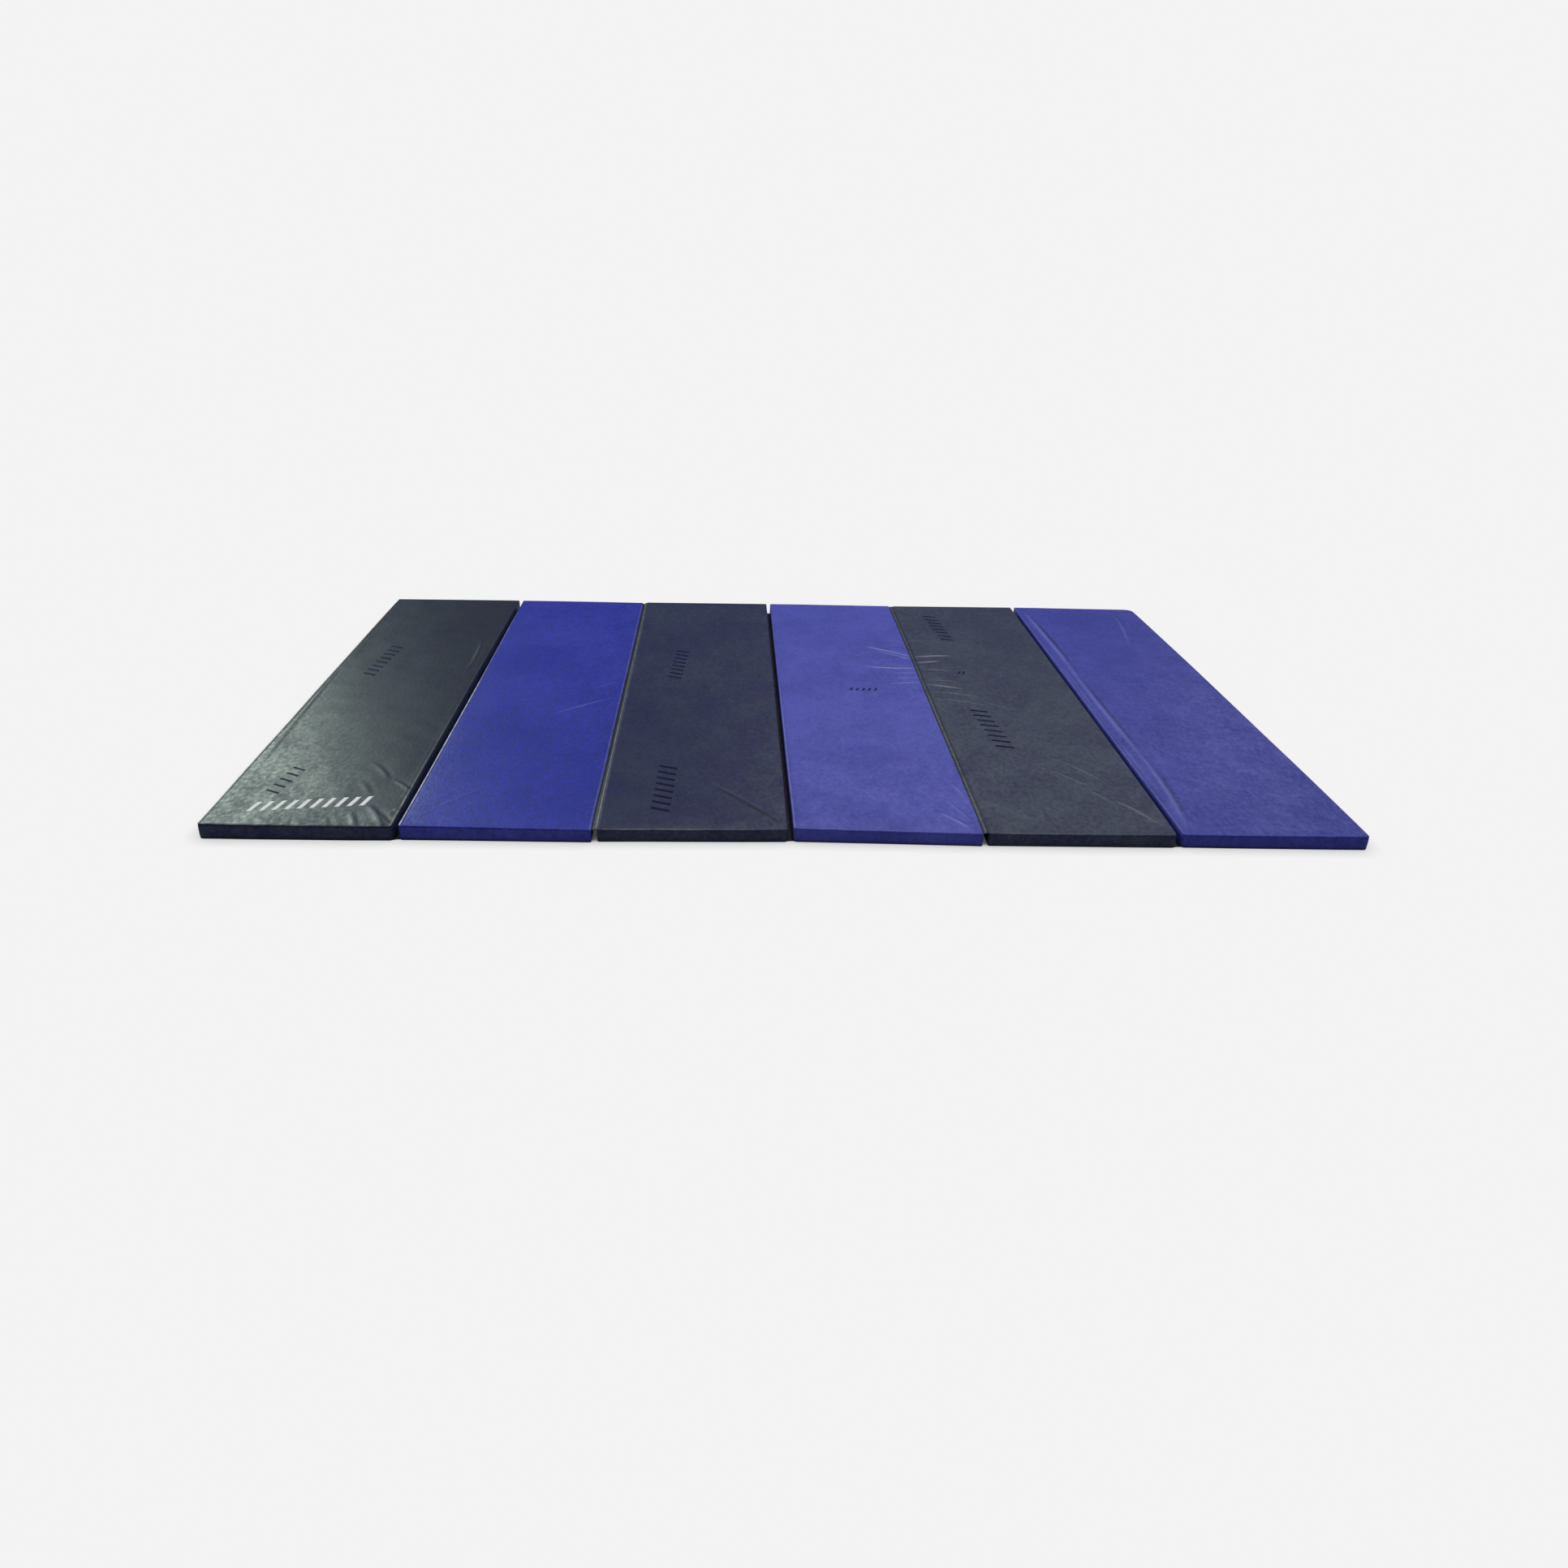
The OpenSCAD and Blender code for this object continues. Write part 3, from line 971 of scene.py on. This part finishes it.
def strip_points(seam, dx, y):
    """Strip points in the row frame, moved with the edges of the two panels that it joins."""
    dx, y = np.broadcast_arrays(dx, y)
    dx, y = dx.ravel().astype(float), y.ravel().astype(float)
    left = warp(seam, points_at(HALF_X, y, 0)) - [HALF_X, 0, 0]
    right = warp(seam + 1, points_at(-HALF_X, y, 0)) + [HALF_X, 0, 0]
    share = np.clip(dx / GAP + 0.5, 0, 1)[:, None]
    points = left * (1 - share) + right * share + [seam_x(seam), MID_Y, 0]
    points[:, 0] += dx
    depth = strip_depth(seam, dx, y)
    lift = (edge_lift(seam, HALF_X, y) + edge_lift(seam + 1, -HALF_X, y)) / 2
    points[:, 2] = TOP_Z - depth + lift if strip_on_top(seam) else FLOOR_Z + depth
    return points


def strip_stitches(seam):
    """Two rows of stitches, one along each edge of the strip."""
    y = np.arange(STRIP_ROWS[0] + 4 * MM, STRIP_ROWS[-1] - 4 * MM, STITCH_PITCH)
    out = 1 if strip_on_top(seam) else -1
    centres = np.concatenate([strip_points(seam, dx, y) for dx in (-STITCH_AT, STITCH_AT)])
    centres[:, 2] += out * 0.15 * MM
    return capsules(centres, (0.08, 1, 0), STITCH_LENGTH, 0.45 * MM)


def make_strip(seam):
    """A strip of coated fabric laid along the seam between two panels, with its stitching."""
    across = np.linspace(-STRIP_REACH, STRIP_REACH, 21)
    upper = strip_points(seam, across[None, :], STRIP_ROWS[:, None])
    upper = upper.reshape(len(STRIP_ROWS), len(across), 3)
    inward = -1 if strip_on_top(seam) else 1
    points, faces = closed_cloth(upper, [0, 0, inward * STRIP_THICK])
    if not strip_on_top(seam):
        faces = faces[:, ::-1]
    # Painted highlight and shade across the strip; the stitches get none
    wear = painted_strip_light(seam, across[None, :], STRIP_ROWS[:, None]).ravel()
    points, faces, numbers = join_parts([(points, faces, 0), (*strip_stitches(seam), 1)])
    wear = np.concatenate([wear, wear, np.zeros(len(points) - 2 * len(wear))])
    materials = [HINGE[strip_on_top(seam)], THREAD]
    strip = new_object(f"hinge_{seam}_{seam + 1}", points, faces, materials, numbers)
    store_painted_light(strip, wear)
    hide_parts(f"hinge_strip_{seam}_{seam + 1}")
    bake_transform(strip)


for seam in SEAMS:
    make_strip(seam)


# ---------------- zips

tape_low, tape_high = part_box("zip_tape_1")
slider_low, slider_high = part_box("zip_slider_1")
TAPE_HALF = (tape_high.x - tape_low.x) / 2
TAPE_Z = (tape_high.z + tape_low.z) / 2
TAPE_RISE = (tape_high.z - tape_low.z) / 2
SEWN_Y = tape_low.y
COIL_START = slider_low.x - panel_x(1)
TOOTH_PITCH = 1.6 * MM


def tape_bulge(x):
    """The tape lies a little unevenly on the cover's end."""
    return 0.15 * MM * noise_along_x(x, 0.04, 300)


def on_zip(i, x, out, z):
    """Points x from the middle of a zip along it, out from its seam and z above its middle."""
    return points_at(panel_x(i) + x, SEWN_Y + out, TAPE_Z + z)


def zip_cloth(i):
    """The tape: two woven edges with a shallow fold along each side of the coil."""
    x = np.linspace(-TAPE_HALF, TAPE_HALF, 87)
    z = np.linspace(-TAPE_RISE, TAPE_RISE, 15)
    x, z = np.meshgrid(x, z)
    rise = 0.75 * MM + tape_bulge(x) + 0.25 * MM * hump(np.abs(z) - 3.4 * MM, 1.2 * MM)
    rise = rise - 0.3 * MM * hump(np.abs(z) - TAPE_RISE, 1.0 * MM)
    points, faces = closed_cloth(on_zip(i, x, rise, z), [0, -0.7 * MM, 0])
    return points, faces[:, ::-1]


def zip_coil(i):
    """Interlocked nylon teeth, set to alternate sides."""
    x = np.arange(COIL_START, -COIL_START, TOOTH_PITCH)
    side = np.where(np.arange(len(x)) % 2 == 0, 1, -1)
    centres = on_zip(i, x, 1.25 * MM, side * 0.35 * MM)
    return capsules(centres, points_at(0.10 * side, 0, 1), 3.6 * MM, 0.62 * MM)


def zip_stitches(i):
    """Lockstitch along the tape's two long edges, a little in from them."""
    x = np.arange(-TAPE_HALF + 4 * MM, TAPE_HALF - 3 * MM, 4.2 * MM)
    inner = TAPE_RISE - 2.2 * MM
    centres = np.concatenate([on_zip(i, x, 0.85 * MM + tape_bulge(x), z) for z in (-inner, inner)])
    return capsules(centres, (1, 0, 0.06), 2.9 * MM, 0.32 * MM)


def zip_stops(i):
    """A metal stop clamped on the coil at each end."""
    end = 2.5 * MM - COIL_START
    return capsules(on_zip(i, np.array([-end, end]), 1.2 * MM, 0), (0, 0, 1), 6.4 * MM, 1.1 * MM, sides=10)


def make_zip(i):
    parts = [(*zip_cloth(i), 0), (*zip_coil(i), 1), (*zip_stitches(i), 2), (*zip_stops(i), 3)]
    points, faces, numbers = join_parts(parts)
    zipper = new_object(f"zip_{i}", points, faces, [TAPE, NYLON, THREAD, NICKEL], numbers)
    finish_piece(zipper, f"panel_{i}", "zip_tape", f"zip_tape_{i}")


def plate(outline, inner, outer, chamfer):
    """A flat plate with chamfered rims: an outline in X and Z, extruded along Y."""
    middle = outline.mean(0)
    way = outline - middle
    small = middle + way * (1 - chamfer / np.linalg.norm(way, axis=1))[:, None]
    layers = [(small, inner), (outline, inner + chamfer), (outline, outer - chamfer), (small, outer)]
    points = np.concatenate([points_at(o[:, 0], y, o[:, 1]) for o, y in layers])
    n = len(outline)
    return points, [*grid_faces(4, n, wrap=True), range(n)[::-1], range(3 * n, 4 * n)]


def rounded(x0, x1, z0, z1, radius, steps=5):
    """Outline of a rectangle with round corners, clockwise seen from the front of the zip."""
    quarters = [np.linspace(start, start + 90, steps + 1) for start in (0, 90, 180, 270)]
    a = np.radians(np.concatenate(quarters))
    x = np.repeat([x1 - radius, x0 + radius, x0 + radius, x1 - radius], steps + 1)
    z = np.repeat([z1 - radius, z1 - radius, z0 + radius, z0 + radius], steps + 1)
    return np.stack([x + radius * np.cos(a), z + radius * np.sin(a)], -1)[::-1]


def make_slider(i):
    """The slider: an outer plate, side walls and an arched bridge, without a pull tab."""
    low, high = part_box(f"zip_slider_{i}")
    x0, x1, z0, z1 = low.x, high.x, low.z, high.z
    mid_x, mid_z = (x0 + x1) / 2, (z0 + z1) / 2
    face = high.y
    parts = [(*plate(rounded(x0, x1, z0, z1, 2.6 * MM), face - 1.3 * MM, face, 0.35 * MM), 0)]
    for za, zb in ((z0 + 0.2 * MM, z0 + 1.7 * MM), (z1 - 1.7 * MM, z1 - 0.2 * MM)):
        parts.append((*plate(rounded(x0 + MM, x1 - MM, za, zb, 0.6 * MM), low.y, face - MM, 0.2 * MM), 0))
    a = np.linspace(0, math.pi, 9)
    arch = points_at(mid_x - 3.6 * MM * np.cos(a), face + 2.4 * MM * np.sin(a) - 0.3 * MM, mid_z)
    bridge = capsules((arch[1:] + arch[:-1]) / 2, arch[1:] - arch[:-1], 2.1 * MM, 0.95 * MM, sides=10)
    points, faces, numbers = join_parts([*parts, (*bridge, 0)])
    slider = new_object(f"zip_pull_{i}", points, faces, [NICKEL], numbers, smooth=False)
    finish_piece(slider, f"slider_{i}", "zip_metal", f"zip_slider_{i}")


for i in PANELS:
    make_zip(i)
    make_slider(i)


# ---------------- printed stripes

# Rows of plain slanted bars: panel, ink and number of bars, then in mm the middle of the first bar and
# of the last in the panel's own place, and the bars' height and width
PRINTS = [
    (1, WHITE_PRINT, 10, -138, -886, 140, -846, 54, 13),
    (1, DARK_PRINT, 8, -119, 117, -98, 398, 44, 12),
    (1, DARK_PRINT, 5, -122, -795, -100, -650, 40, 8),
    (3, DARK_PRINT, 8, -75, 385, -93, 120, 46, 12),
    (3, DARK_PRINT, 8, -80, -615, -89, -880, 52, 12),
    (4, DARK_PRINT, 5, -1, 31, 81, 31, 24, 7),
    (5, DARK_PRINT, 8, -115, 853, -90, 569, 48, 12),
    (5, DARK_PRINT, 2, -110, 203, -94, 203, 26, 7),
    (5, DARK_PRINT, 8, -110, -154, -86, -440, 52, 12),
]
SLANT = 0.35  # how far a bar leans over its height
INK_RISE = 0.22 * MM  # how far a bar stands above the cover
INK_THICK = 0.3 * MM


def surface_height(tree, x, y):
    """Height of a top cover under a point."""
    hit = tree.ray_cast(Vector((x, y, TOP_Z + 0.02)), Vector((0, 0, -1)))[0]
    return hit.z if hit else TOP_Z


def make_print(number, i, ink, count, *sizes):
    """A row of slanted bars printed on a top cover, laid on its surface bar by bar."""
    top = bpy.data.objects[f"top_cover_{i}"].data
    tree = BVHTree.FromPolygons([v.co for v in top.vertices], [p.vertices for p in top.polygons])
    x0, y0, x1, y1, tall, wide = np.array(sizes) * MM
    first, last = np.array([x0, y0]), np.array([x1, y1])
    along = (last - first) / np.linalg.norm(last - first)
    up = np.array([-along[1], along[0]])
    u, v = np.meshgrid(np.linspace(-wide / 2, wide / 2, 4), np.linspace(-tall / 2, tall / 2, 13))
    bar = (u + SLANT * v)[..., None] * along + v[..., None] * up + [panel_x(i), MID_Y]
    parts = []
    for k in range(count):
        flat = bar + first + (last - first) * k / (count - 1)
        z = np.array([[surface_height(tree, *p) for p in row] for row in flat]) + INK_RISE
        parts.append((*closed_cloth(np.concatenate([flat, z[..., None]], -1), [0, 0, -INK_THICK]), 0))
    points, faces, numbers = join_parts(parts)
    bars = new_object(f"print_{i}_{number}", points, faces, [ink], numbers)
    finish_piece(bars, f"panel_{i}", vinyl_slot(i))


for number, row in enumerate(PRINTS):
    make_print(number + 1, *row)


# ---------------- stage, light and camera

FLOOR_SIZE = 14
SHADOW_REACH = 0.05  # how far from the mat the floor darkens
CAMERA_AT = (-0.171, -3.623, 1.421)
CAMERA_TURN = (1.71, 25.35, 1.34)  # degrees to the right, down and tilted
CAMERA_LENS = 26.75
CAMERA_SHIFT = (0.0179, -0.001)


def make_floor():
    """A pale floor that throws light back up. The camera sees only the soft shadow where it is touched."""
    bpy.ops.mesh.primitive_plane_add(size=FLOOR_SIZE, location=(0, 0, FLOOR_Z))
    floor = bpy.context.object
    floor.name = "floor"
    s = Shader("floor", srgb(185, 185, 185), 0.9)
    s.set("Base Color", s.mix(s.noise(3.0), srgb(184, 184, 184), srgb(186, 186, 186)))
    open_share = s.node("AmbientOcclusion", "AO", samples=8, Distance=SHADOW_REACH)
    deep, faint = s.ramp(open_share, 0.15, 0.5, 0.66, 0.0), s.ramp(open_share, 0.5, 1.0, 0.30, 0.0)
    clear = s.node("BsdfTransparent", 0)
    dark = s.node("Emission", 0, Color=(0.0, 0.0, 0.0, 1.0), Strength=0.0)
    lit = s.for_rays("Is Shadow Ray", s.bsdf.outputs[0], clear)
    seen = s.blend(s.math("ADD", deep, faint), clear, dark)
    s.show("Material Output", s.for_rays("Is Camera Ray", lit, seen))
    floor.data.materials.append(s.material)


def make_world():
    """Pale where it is seen, and a large soft overhead light where it lights the object."""
    world = bpy.data.worlds.new("studio")
    bpy.context.scene.world = world
    w = Nodes(world)
    seen = w.tree.nodes["Background"]
    w.fill(seen.inputs["Color"], srgb(243, 243, 243))
    w.fill(seen.inputs["Strength"], 1.0)
    up = w.node("SeparateXYZ", "Z", Vector=w.node("TexCoord", "Generated"))
    dome = w.math("POWER", w.math("MAXIMUM", up, 0.0), 2.0)
    soft = w.node("Background", 0, Color=(0.96, 0.97, 1.0, 1.0), Strength=dome)
    w.show("World Output", w.for_rays("Is Camera Ray", soft, seen.outputs[0]))


def make_light(name, place, aim, size, watts, colour=(1.0, 1.0, 1.0)):
    light = bpy.data.lights.new(name, "AREA")
    light.shape = "RECTANGLE"
    light.size, light.size_y = size
    light.energy = watts
    light.color = colour
    obj = linked(name, light)
    obj.location = place
    obj.rotation_euler = Vector(np.subtract(aim, place)).to_track_quat("-Z", "Y").to_euler()
    obj.visible_camera = False


def make_camera():
    """A short lens about 1.4 m above the floor, in front of the mat and tipped down."""
    data = bpy.data.cameras.new("camera")
    data.sensor_width = 36
    data.lens = CAMERA_LENS
    data.shift_x, data.shift_y = CAMERA_SHIFT
    data.clip_end = 200
    camera = linked("camera", data)
    yaw, pitch, roll = (math.radians(a) for a in CAMERA_TURN)
    down = Matrix.Rotation(math.pi / 2 - pitch, 4, "X")
    turn = Matrix.Rotation(-yaw, 4, "Z") @ down @ Matrix.Rotation(roll, 4, "Z")
    camera.matrix_world = Matrix.Translation(CAMERA_AT) @ turn
    bpy.context.scene.camera = camera


make_floor()
make_world()
make_light("overhead", (0.3, 1.0, 3.8), (0.0, 0.2, 0), (1.6, 1.2), 30, (1.0, 0.98, 1.0))
make_light("window", (-4.0, 4.0, 2.8), (-0.8, -0.6, 0), (1.6, 1.2), 109, (0.82, 1.0, 0.86))
make_light("back", (1.3, 4.3, 3.4), (0.6, -0.2, 0), (2.6, 0.8), 17)
make_light("side window", (4.4, 4.6, 2.9), (1.1, -0.6, 0), (2.4, 1.6), 14)
make_camera()
bpy.context.scene.view_settings.view_transform = "Standard"
